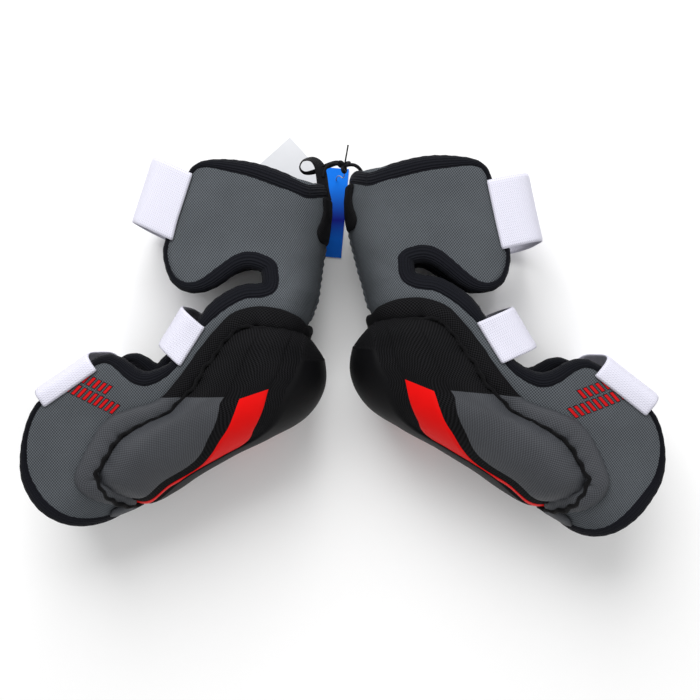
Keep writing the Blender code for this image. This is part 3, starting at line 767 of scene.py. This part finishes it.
def cap_rim(pad):
    """Padded rim round the dome: a flat roll that follows the shell, black above and grey leather below."""
    points = []
    for x, y, half in RIM:
        s, t = locate(GUARD.point, (x, y), (1.0, 0.05), (13.2, 1.0))
        points.append((s, t, half))
    start = [(RIM_SPINE[0], 0.0, 4.4), (RIM_SPINE[0], 0.12, 4.4)]
    end = [(RIM_SPINE[1], 0.11, 4.2), (RIM_SPINE[1], 0.0, 4.0)]
    points = start + points + end
    loop = points + [(s, -t, half) for s, t, half in points[-2:0:-1]]
    knots = [(*GUARD.on(s, t, 1.3), *GUARD.normal(s, t), half) for s, t, half in loop]
    ring = resampled([*knots, knots[0]], RIM_STEP)[:-1]
    path = tube_path(ring, 2)

    def profile(angle, i):
        c, s = math.cos(angle), math.sin(angle)
        pucker = 0.35 * math.sin(2 * math.pi * i * RIM_STEP / PUCKER) * max(0.0, -c)
        half = path[i][3] + 0.3 * noise.noise(path[i][0] / 9)
        x, y, _ = path[i][0]
        thick = 3.3 - 2.0 * smooth_step((-80.0 - x) / 25) * smooth_step((-118.0 - y) / 12)
        return (math.copysign(abs(c) ** 0.9, c) * (half + pucker),
                math.copysign(abs(s) ** 0.8, s) * thick + pucker)
    skin = Skin()
    sweep(skin, path, 24, profile)
    skin.split(list(skin.bm.faces), (0, SPLIT_Y, 0), (0, 1, 0))
    for face in skin.bm.faces:
        middle = face.calc_center_median()
        face.material_index = 1 if middle.y < SPLIT_Y and middle.x < -55 else 0
    obj = skin.piece(pad.name + "cap_rim", [BLACK_CLOTH, GREY_LEATHER], lambda p: pad.put("guard", p))
    pad.hand_over(obj, "cap_fabric", ("cap_flange",), "guard", 0.7)


def dome_lines():
    """The dome's lines as (s, t) pairs, from the near rim to the spine."""
    lines = []
    for index, line in enumerate(DOME_LINES):
        row = []
        for k, p in enumerate(line):
            height = 3.0 if index == 0 or k in (0, len(line) - 1) else 11.0
            row.append(locate(lambda s, t: GUARD.on(s, t, height), p, (1.6, 0.02), (13.2, 1.0)))
        lines.append(row)
    lines.append([(s, 0.0) for s in DOME_SPINE])
    return lines


# Zones across the near half of the dome, one between each two lines: columns, material slot and padding.
# Slots: 0 black cloth, 1 grey leather, 2 red film, 3 glossy black.
ZONES = [(22, 1, 0.45), (5, 0, 0.0), (7, 2, 0.35), (8, 0, 0.0), (9, 3, 0.7)]
ZONE_STEP, DOME_ROWS, GLOSS_Y = 0.02, 120, -52.0
# Seam: puckers' pitch and depth, how far they and the seam's pull reach in.
PUCKER, PUCKER_DEEP, PUCKER_REACH, SEAM_BLEND = 8.5, 0.8, 2.6, 3.0


def dome_columns():
    """Positions across the near half, in lines from the rim 0 to the spine 5, doubled where a zone ends."""
    columns = [0.0]
    for zone, (count, _, _) in enumerate(ZONES):
        columns += [zone + i / count for i in range(1, count)]
        columns += [zone + 1 - ZONE_STEP, zone + 1 + ZONE_STEP] if zone < 4 else [5.0]
    return columns


def line_runs(points):
    """Length along a line of points, at each point."""
    runs = [0.0]
    for a, b in zip(points, points[1:]):
        runs.append(runs[-1] + (b - a).length)
    return runs


def cap_dome(pad, lines):
    """Padded dome with its grey side panels, red stripes and glossy centre."""
    columns = dome_columns()
    across = [(c, 1) for c in columns] + [(c, -1) for c in columns[-2::-1]]

    def place(c, b):
        i = min(4, int(c))
        near, far = (spline(line, b * 10) for line in (lines[i], lines[i + 1]))
        return tuple(low + (high - low) * (c - i) for low, high in zip(near, far))
    params = [[(*place(c, b / DOME_ROWS), sign) for c, sign in across] for b in range(DOME_ROWS + 1)]
    base = [[GUARD.on(s, sign * t, 5.0) for s, t, sign in row] for row in params]
    row_runs = [line_runs(row) for row in base]
    column_runs = [line_runs(column) for column in zip(*base)]
    points, cloth = [], []
    for i in range(DOME_ROWS + 1):
        line, marks = [], []
        for j, (c, sign) in enumerate(across):
            s, t, _ = params[i][j]
            over, down = row_runs[i][j], column_runs[j][i]
            from_sides = min(over, row_runs[i][-1] - over)
            from_ends = min(down, column_runs[j][-1] - down)
            near_seam = math.exp(-from_sides / SEAM_BLEND) + math.exp(-from_ends / SEAM_BLEND)
            dist = -math.log(near_seam) * SEAM_BLEND
            x = min(1.0, max(0.0, dist / DOME_ROUND))
            along = down if from_sides < from_ends else over
            pucker = PUCKER_DEEP * math.cos(2 * math.pi * along / PUCKER) * math.exp(-dist / PUCKER_REACH)
            bump = SPINE_BUMP * math.exp(-(t / 0.2) ** 2) * smooth_step(x) * smooth_step((7.0 - s) / 2)
            slim = SPINE_SLIM * math.exp(-(t / 0.28) ** 2) * smooth_step((s - 5.0) / 2.0)
            height = DOME_SEAM + (DOME_HIGH - slim - DOME_SEAM) * (1 - (1 - x) ** 2.4) + bump + pucker
            height += ZONES[min(4, int(c))][2] * smooth_step(dist / SEAM_BLEND - 0.3) if c else 0.0
            height += 0.5 * noise.noise(base[i][j] / 22) * x
            line.append(GUARD.on(s, sign * t, height))
            marks.append((sign * over, down))
        points.append(line)
        cloth.append(marks)
    skin = Skin()
    skin.grid(points, cloth, lambda i, j: ZONES[min(4, int((across[j][0] + across[j + 1][0]) / 2))][1])
    (ax, ay), (bx, by) = STRIPE_TOP
    # Where each coloured zone starts: a point of its upper border and the direction towards its colour.
    borders = {1: (Vector((0, SPLIT_Y, 0)), Vector((0, -1, 0))),
               2: (Vector((ax, ay, 0)), Vector((by - ay, ax - bx, 0.0)).normalized()),
               3: (Vector((0, GLOSS_Y, 0)), Vector((0, -1, 0)))}
    for slot in (1, 2):
        skin.split([f for f in skin.bm.faces if f.material_index == slot], *borders[slot])
    for face in skin.bm.faces:
        point, way = borders.get(face.material_index, (None, None))
        if point and (face.calc_center_median() - point).dot(way) <= 0:
            face.material_index = 0
    obj = skin.piece(pad.name + "dome", [BLACK_CLOTH, GREY_LEATHER, RED_FILM, BLACK_FILM],
                     lambda p: pad.put("guard", p), 0.01)
    pad.hand_over(obj, "cap_fabric", (
        "cap_foam", "cap_shell", "cap_dome", "cap_centre_panel", "side_panel_near", "side_panel_far",
        "red_stripe_near", "red_stripe_far"), "guard", 0.8)


# ---------------------------------------------------------------- smaller sewn pieces

def patch_piece(pad, name, section, place, columns, rows, thick, mat, uv=(20.0, 20.0)):
    """Thin rounded piece on the shell: place(a, b, offset) with a across and b along, both 0 to 1.
    uv is its size in millimetres of cloth."""
    def rounded(a, b):
        """Pulls the corners in, so that the outline is a rounded rectangle."""
        x, y = 2 * a - 1, 2 * b - 1
        pull = max(abs(x), abs(y)) / ((abs(x) ** 6 + abs(y) ** 6) ** (1 / 6) or 1.0)
        return x * pull / 2 + 0.5, y * pull / 2 + 0.5
    skin = Skin()
    top, cloth, under = [], [], []
    for i in range(rows + 1):
        line, marks, low = [], [], []
        for j in range(columns + 1):
            a, b = rounded(j / columns, i / rows)
            edge = min(j, columns - j, i, rows - i) / 2
            line.append(place(a, b, thick * (0.35 + 0.65 * min(1.0, edge))))
            low.append(place(a, b, 0.0))
            marks.append((a * uv[0], b * uv[1]))
        top.append(line)
        cloth.append(marks)
        under.append(low)
    skin.grid(top, cloth)
    skin.grid(under, cloth)
    for i in (0, -1):
        skin.grid([top[i], under[i]], [cloth[0]] * 2)
    for j in (0, -1):
        skin.grid([[row[j] for row in top], [row[j] for row in under]], [[row[0] for row in cloth]] * 2)
    return skin.piece(pad.name + name, [mat], lambda p: pad.put(section, p))


def back_patch(pad):
    """Black reinforcement down the cuff's spine, with a bulge near its lower end."""
    def place(a, b, offset):
        s = 1.5 + 6.6 * b
        bulge = 0.025 * math.exp(-((b - 0.78) / 0.14) ** 2)
        half = 0.20 - 0.03 * math.sin(math.pi * min(1.0, b * 1.5)) + bulge
        return CUFF.on(s, (2 * a - 1) * half, 0.4 + offset * 1.2)
    obj = patch_piece(pad, "back_patch", "cuff", place, 20, 30, 1.2, BLACK_CLOTH, (28, 52))
    pad.hand_over(obj, "edge_binding", ("cuff_back_patch",), "cuff")


def spine_seam(pad):
    """Puckered seam down the back of the neck, from the patch to the cap."""
    knots = [("cuff", CUFF.on(s, 0.0, 0.1)) for s in (6.6, 7.2, 7.8, 8.4, 9.0, 9.6)]
    knots += [("guard", GUARD.on(s, 0.0, 0.1)) for s in (0.4, 1.0, 1.6, 2.2)]
    points = [tuple(pad.put(section, p) / MM) for section, p in knots]
    line = [Vector(p) for p in resampled(points, 0.5)]
    path = []
    for i, here in enumerate(line):
        along = (line[min(i + 1, len(line) - 1)] - line[max(i - 1, 0)]).normalized()
        up = Vector((0, 0, 1))
        side = along.cross(up).normalized()
        path.append((here * MM, side * MM, up * MM))

    def profile(angle, i):
        swell = 1.0 + 0.22 * math.sin(2 * math.pi * i * 0.5 / 4.4) + 0.3 * noise.noise(line[i] / 6)
        swell *= smooth_step(i / 6) * smooth_step((len(line) - 1 - i) / 6) + 0.05
        return math.cos(angle) * swell, math.sin(angle) * swell * 2.2
    skin = Skin()
    sweep(skin, path, 12, profile, closed=False, unit=MM)
    obj = skin.piece(pad.name + "spine_seam", [GREY_CLOTH], merge=1e-6)
    pad.hand_over(obj, "woven_cover")


def seam_threads(pad, lines):
    """Dark stitches sunk in the groove between rim and dome."""
    low = [spline(lines[0], 10 * k / 60) for k in range(61)]

    def to_spine(s, t, end):
        return [(s + (end - s) * k / 20, t * (1 - k / 20)) for k in range(1, 21)]
    upper, lower = to_spine(*low[0], DOME_SPINE[0]), to_spine(*low[-1], DOME_SPINE[-1])
    near = upper[::-1] + low + lower
    loop = near + [(s, -t) for s, t in near[-2:0:-1]]
    knots = [(*GUARD.on(s, t, 2.9), *GUARD.normal(s, t)) for s, t in loop]
    ring = resampled([*knots, knots[0]], 1.0)[:-1]
    path = [(here + side * (0.55 * math.sin(2 * math.pi * i / PUCKER)), side,
             Vector(values[3:6]).normalized())
            for i, (values, (here, side, _)) in enumerate(zip(ring, tube_path(ring, 1)))]
    skin = Skin()
    sweep(skin, path, 8, lambda angle, i: (math.cos(angle) * 1.3, math.sin(angle) * 1.7))
    obj = skin.piece(pad.name + "dome_seam", [THREAD], lambda p: pad.put("guard", p))
    pad.hand_over(obj, "edge_binding", body="guard")


# Generic badge on the forearm: rows of slanted bars, as first bar's place across and up, count and height.
BADGE_AT, BADGE_TURN = (-119.2, -67.0), -27.4
BADGE_ROWS = [((-1.0, 0.0), 9, 6.0), ((4.2, 8.2), 5, 5.2)]
BAR_PITCH, BAR_WIDE, BAR_LEAN, BAR_RIM = 3.3, 1.5, 0.3, 0.4


def badge(pad):
    """Print of slanted red bars with black outlines on the near wall of the forearm."""
    turn = Matrix.Rotation(math.radians(BADGE_TURN), 3, "Z")
    corner = Vector((*BADGE_AT, 0.0))
    skin = Skin()
    for (first, up), count, high in BADGE_ROWS:
        for bar in range(count):
            for slot, grow, lift in ((1, BAR_RIM, 0.15), (0, 0.0, 0.3)):
                rows, cloth = [], []
                for i in range(5):
                    y = up - grow + (high + 2 * grow) * i / 4
                    lean = BAR_LEAN * (y - up)
                    line, marks = [], []
                    for j in range(4):
                        x = first + bar * BAR_PITCH - grow + (BAR_WIDE + 2 * grow) * j / 3 + lean
                        p = corner + turn @ Vector((x, y, 0.0))
                        s, t = locate(GUARD.point, (p.x, p.y), (8.0, 0.5), (13.2, 1.0))
                        over = GUARD.on(s, t, lift + soft_wave(GUARD.point(s, t)))
                        line.append(Vector((p.x, p.y, over.z)))
                        marks.append((p.x, p.y))
                    rows.append(line)
                    cloth.append(marks)
                skin.grid(rows, cloth, slot)
    obj = skin.piece(pad.name + "badge", [PRINT_RED, BAND_KNIT], lambda p: pad.put("guard", p))
    pad.hand_over(obj, "red_synthetic_leather", body="guard")


# ---------------------------------------------------------------- straps

PATCH_BASE, PATCH_THICK, HOOK_GAP, TAB_THICK = 0.6, 0.8, 0.35, 0.8
TAIL_OFFSET = PATCH_BASE + PATCH_THICK + 2 * HOOK_GAP + TAB_THICK
STRAP_LIFT, STRAP_COLUMNS, LOOP_STEPS, TAIL_STEPS = 1.5, 24, 60, 10


def strap(pad, name):
    """Elastic strap from its sewn root round the open front to the far wall, with its hook and loop."""
    section, root, tail = STRAPS[name]
    far_out, skew, slide = STRAP_LIES[pad.side][name]
    sheet = SHEETS[section]
    start, end = (Vector((*p, 0.0)) for p in root)
    width, along = (end - start).length, (end - start).normalized()
    start += along * slide
    inward = Vector((-along.y, along.x, 0.0))
    out = Matrix.Rotation(math.radians(skew), 3, "Z") @ -inward

    def wall_height(point, offset):
        s, t = locate(sheet.point, (point.x, point.y), (0.5, 0.5), (len(sheet.ribs) - 1.5, 1.0))
        return sheet.on(s, t, offset).z, sheet.on(s, -t, offset).z
    top = wall_height(start + along * width / 2, STRAP_LIFT)[0]
    roots = [wall_height(start + along * width * k / STRAP_COLUMNS, STRAP_LIFT)[0] - top
             for k in range(STRAP_COLUMNS + 1)]
    low = min(wall_height(start + along * width * k, TAIL_OFFSET)[1] for k in (0.0, 0.5, 1.0))

    def centre(k):
        """Reach outwards and height at share k of the loop."""
        angle = math.pi * k
        swing = math.copysign(abs(math.cos(angle)) ** LOOP_POWER, math.cos(angle))
        return far_out * math.sin(angle) ** LOOP_POWER, (top + low) / 2 + (top - low) / 2 * swing
    line = [(-1.6, top - 0.9), (-0.8, top - 0.1)]
    line += [centre(k / LOOP_STEPS) for k in range(LOOP_STEPS + 1)]
    line += [(-tail * k / TAIL_STEPS, low) for k in range(1, TAIL_STEPS + 1)]
    bare = [p for i, p in enumerate(line) if i == 0 or math.dist(p, line[i - 1]) > 0.2]
    even = resampled(bare, 1.2)
    faces = []
    for half in (STRAP_THICK / 2, -STRAP_THICK / 2):
        rows, cloth, run = [], [], 0.0
        for i, (reach, height) in enumerate(even):
            before, after = even[max(0, i - 1)], even[min(len(even) - 1, i + 1)]
            slope = Vector((after[0] - before[0], after[1] - before[1])).normalized()
            run += math.dist(even[i], even[i - 1]) if i else 0.0
            row, marks = [], []
            for j, root_height in enumerate(roots):
                k = j / STRAP_COLUMNS
                thin = half * min(1.0, 0.45 + min(k, 1 - k) * width / 1.2)
                sag = 0.4 * math.sin(math.pi * k) * math.sin(math.pi * min(1, max(0, reach / far_out)))
                r, h = reach + slope.y * thin - sag, height - slope.x * thin
                base = start + along * (width * k) + (out if reach >= 0 else -inward) * r
                if i < len(even) / 2:
                    h += root_height * (1 - smooth_step(reach / 8.0))
                row.append(Vector((base.x, base.y, h)))
                marks.append((run, k * width))
            rows.append(row)
            cloth.append(marks)
        faces.append(rows)
    skin = Skin()
    for face in faces:
        skin.grid(face, cloth)
    for j in (0, -1):
        skin.grid([[row[j] for row in face] for face in faces], [[row[j] for row in cloth]] * 2)
    for i in (0, -1):
        skin.grid([face[i] for face in faces], [cloth[i]] * 2)
    obj = skin.piece(pad.name + name + "_webbing", [ELASTIC], lambda p: pad.put(section, p))
    pad.hand_over(obj, "white_elastic", (name + "_strap",), name + "_strap")

    def lying(offset, first, last, margin):
        def place_flat(a, b, lift):
            across = along * width * (margin + (1 - 2 * margin) * a)
            point = start + across + inward * (first + (last - first) * b)
            return Vector((point.x, point.y, wall_height(point, offset - lift)[1]))
        return place_flat
    patch = PATCH_BASE + PATCH_THICK
    for piece, place, thick, ridden, node in (
            ("loop_pad", lying(patch, 1.0, tail - 0.5, 0.1), PATCH_THICK, section, "loop_patch"),
            ("hook_pad", lying(patch + HOOK_GAP + TAB_THICK, 1.5, tail - 1.0, 0.06), TAB_THICK,
             name + "_strap", "hook_tab")):
        obj = patch_piece(pad, name + "_" + piece, section, place, 10, 6, thick, HOOKS)
        pad.hand_over(obj, "hook_and_loop", (name + "_" + node,), ridden)


# ---------------------------------------------------------------- ribbon, tie and cards

def tube(name, points, radius, mat, body, cyclic=False):
    curve = bpy.data.curves.new(name, "CURVE")
    curve.dimensions = "3D"
    curve.bevel_depth = radius * MM
    curve.bevel_resolution = 4
    curve.use_fill_caps = True
    run = curve.splines.new("NURBS")
    run.points.add(len(points) - 1)
    for point, co in zip(run.points, points):
        point.co = (*(Vector(co) * MM), 1.0)
    run.use_cyclic_u = cyclic
    run.use_endpoint_u = not cyclic
    run.order_u = 3
    obj = bpy.data.objects.new(name, curve)
    bpy.context.scene.collection.objects.link(obj)
    curve.materials.append(mat)
    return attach(obj, body)


def ribbon(knot):
    """Flat black ribbon, sewn into the left cuff's top corner, looped over and caught in the knot."""
    route = [(-10.5, -20.5, -2.0), (-12.0, -14.0, -1.0), (-13.0, -6.0, -1.5), (-14.5, 0.5, -2.0),
             (-18.5, 4.5, -3.0), (-24.0, 4.0, -4.5), (-26.0, 0.0, -5.5), (-23.0, -3.2, -5.0),
             (-17.0, -2.5, -4.0), (-10.0, 0.5, -3.0), (-4.0, 2.0, -1.5), (0.5, 0.5, 0.0)]
    wide = [6.8, 6.8, 6.6, 6.2, 5.0, 3.6, 3.2, 3.4, 3.8, 4.0, 3.4, 2.0]
    lean = [0.0, 5.0, 10.0, 20.0, 45.0, 70.0, 80.0, 75.0, 60.0, 55.0, 50.0, 45.0]
    step, shares = 0.7, (-0.5, -0.25, 0.0, 0.25, 0.5)
    line = resampled([(*p, w, a) for p, w, a in zip(route, wide, lean)], step)
    skin = Skin()
    sheets = []
    for half in (0.25, -0.25):
        rows, cloth = [], []
        for i, (x, y, z, w, a) in enumerate(line):
            here = Vector((x, y, z))
            ahead, behind = Vector(line[min(i + 1, len(line) - 1)][:3]), Vector(line[max(i - 1, 0)][:3])
            along = (ahead - behind).normalized()
            side = along.cross(Vector((0, 0, 1))).normalized()
            side = Matrix.Rotation(math.radians(a), 3, along) @ side
            up = side.cross(along).normalized()
            rows.append([here + side * (w * k) + up * half for k in shares])
            cloth.append([(w * k, i * step) for k in shares])
        skin.grid(rows, cloth)
        sheets.append(rows)
    marks = [(0.0, i * step) for i in range(len(line))]
    for j in (0, -1):
        skin.grid([[row[j] for row in rows] for rows in sheets], [marks] * 2)
    obj = skin.piece("ribbon_loop", [RIBBON], lambda p: (p + knot) * MM)
    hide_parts("hang_loop")
    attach(obj, "left_cuff")


def tie(knot):
    """The cord's knot, its short cut end, and the strings that hold the cards."""
    points = []
    for i in range(40):
        k = 2 * math.pi * i / 40
        points.append(knot + Vector((2.6 * (math.sin(k) + 1.1 * math.sin(2 * k)) * 0.62,
                                     2.6 * (math.cos(k) - 1.1 * math.cos(2 * k)) * 0.62,
                                     1.5 * math.sin(3 * k))))
    obj = tube("cord_knot", points, 1.15, THREAD, "left_cuff", cyclic=True)
    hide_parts("tie_cord")
    links = [
        ("cord_end", [(0.5, 1.0, 0.5), (1.0, 4.0, 1.5), (1.8, 8.0, 2.6), (2.4, 11.5, 3.6)], 0.45, THREAD),
        ("cord_to_right", [(0.5, 0.0, 0.0), (4.0, 0.8, 1.6), (8.0, -0.6, 2.2), (11.0, -4.4, 0.0),
                           (10.6, -8.5, -3.0)], 1.0, THREAD),
        ("cord_to_left", [(-0.5, 0.0, 0.0), (-4.0, 1.6, 0.6), (-8.0, 1.2, -0.4), (-11.5, -1.5, -1.0),
                          (-12.2, -6.0, -1.2)], 1.0, THREAD),
    ]
    for name, route, radius, mat in links:
        tube(name, [knot + Vector(p) for p in route], radius, mat, "left_cuff")


def card_string(knot):
    """Thin string from the knot to the hole in the upper card's corner."""
    low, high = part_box("hang_tag")
    hole = Vector((high.x - 0.008, high.y - 0.012, high.z)) / MM
    route = [knot + Vector((0.0, -1.5, -0.5)), knot + Vector((0.5, -6.0, -12.0)), knot.lerp(hole, 0.6),
             hole + Vector((0.0, 1.5, 3.0)), hole + Vector((0.0, 0.0, -0.2))]
    tube("tag_string", route, 0.28, STRING, "left_cuff")


# ---------------------------------------------------------------- room

# The camera stands over the middle of the pair, which is a fixed step from the left elbow.
VIEW_STEP, VIEW_HEIGHT, NEAR_WALL, VIEW_WIDE = (0.0352, -0.0458), 0.6, 0.075, 0.385


def room():
    """White floor, white surroundings and the lamps."""
    floor = bpy.data.meshes.new("floor")
    size = 3.0
    floor.from_pydata([(-size, -size, -0.0004), (size, -size, -0.0004), (size, size, -0.0004),
                       (-size, size, -0.0004)], [], [(0, 1, 2, 3)])
    obj = bpy.data.objects.new("floor", floor)
    bpy.context.scene.collection.objects.link(obj)
    floor.materials.append(grained("floor_paper", (0.93, 0.93, 0.93), 0.9, 40.0, 0.00001, 0.005))

    world = bpy.data.worlds.new("studio")
    world.use_nodes = True
    back = world.node_tree.nodes["Background"]
    back.inputs["Color"].default_value = (1.0, 1.0, 1.0, 1)
    back.inputs["Strength"].default_value = 0.58
    bpy.context.scene.world = world

    def area(name, place, aim, size, power):
        light = bpy.data.lights.new(name, "AREA")
        light.shape, light.size, light.energy = "SQUARE", size, power
        lamp = bpy.data.objects.new(name, light)
        lamp.location = place
        lamp.rotation_euler = (Vector(aim) - Vector(place)).to_track_quat("-Z", "Y").to_euler()
        bpy.context.scene.collection.objects.link(lamp)
    area("key", (-0.15, 0.75, 0.85), (0, 0, 0), 0.8, 13.0)
    area("fill", (0.5, -0.3, 1.0), (0, 0, 0.03), 0.8, 1.5)

    camera = bpy.data.cameras.new("camera")
    camera.sensor_width = 36.0
    camera.lens = 36.0 * (VIEW_HEIGHT - NEAR_WALL) / VIEW_WIDE
    camera.clip_start = 0.01
    eye = bpy.data.objects.new("camera", camera)
    elbow = JOINTS["left_elbow_flex"]["pos_m"]
    eye.location = (elbow[0] + VIEW_STEP[0], elbow[1] + VIEW_STEP[1], VIEW_HEIGHT)
    bpy.context.scene.collection.objects.link(eye)
    bpy.context.scene.camera = eye
    bpy.context.scene.view_settings.view_transform = "Standard"


# ---------------------------------------------------------------- scene

def main():
    room()
    lines = dome_lines()
    for side in ("left", "right"):
        pad = Pad(side)
        near, far, places, ends = band_points(pad)
        shell(pad, places)
        edge_band(pad, near, far, ends)
        cap_rim(pad)
        cap_dome(pad, lines)
        seam_threads(pad, lines)
        back_patch(pad)
        spine_seam(pad)
        badge(pad)
        for name in STRAPS:
            strap(pad, name)
    low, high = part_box("tie_cord")
    knot = (low + high) / 2 / MM
    ribbon(knot)
    tie(knot)
    card_string(knot)
    for node, mat in (("hang_tag", BLUE_CARD), ("label_card", WHITE_CARD)):
        frame["nodes"][node].data.materials.clear()
        frame["nodes"][node].data.materials.append(mat)


main()
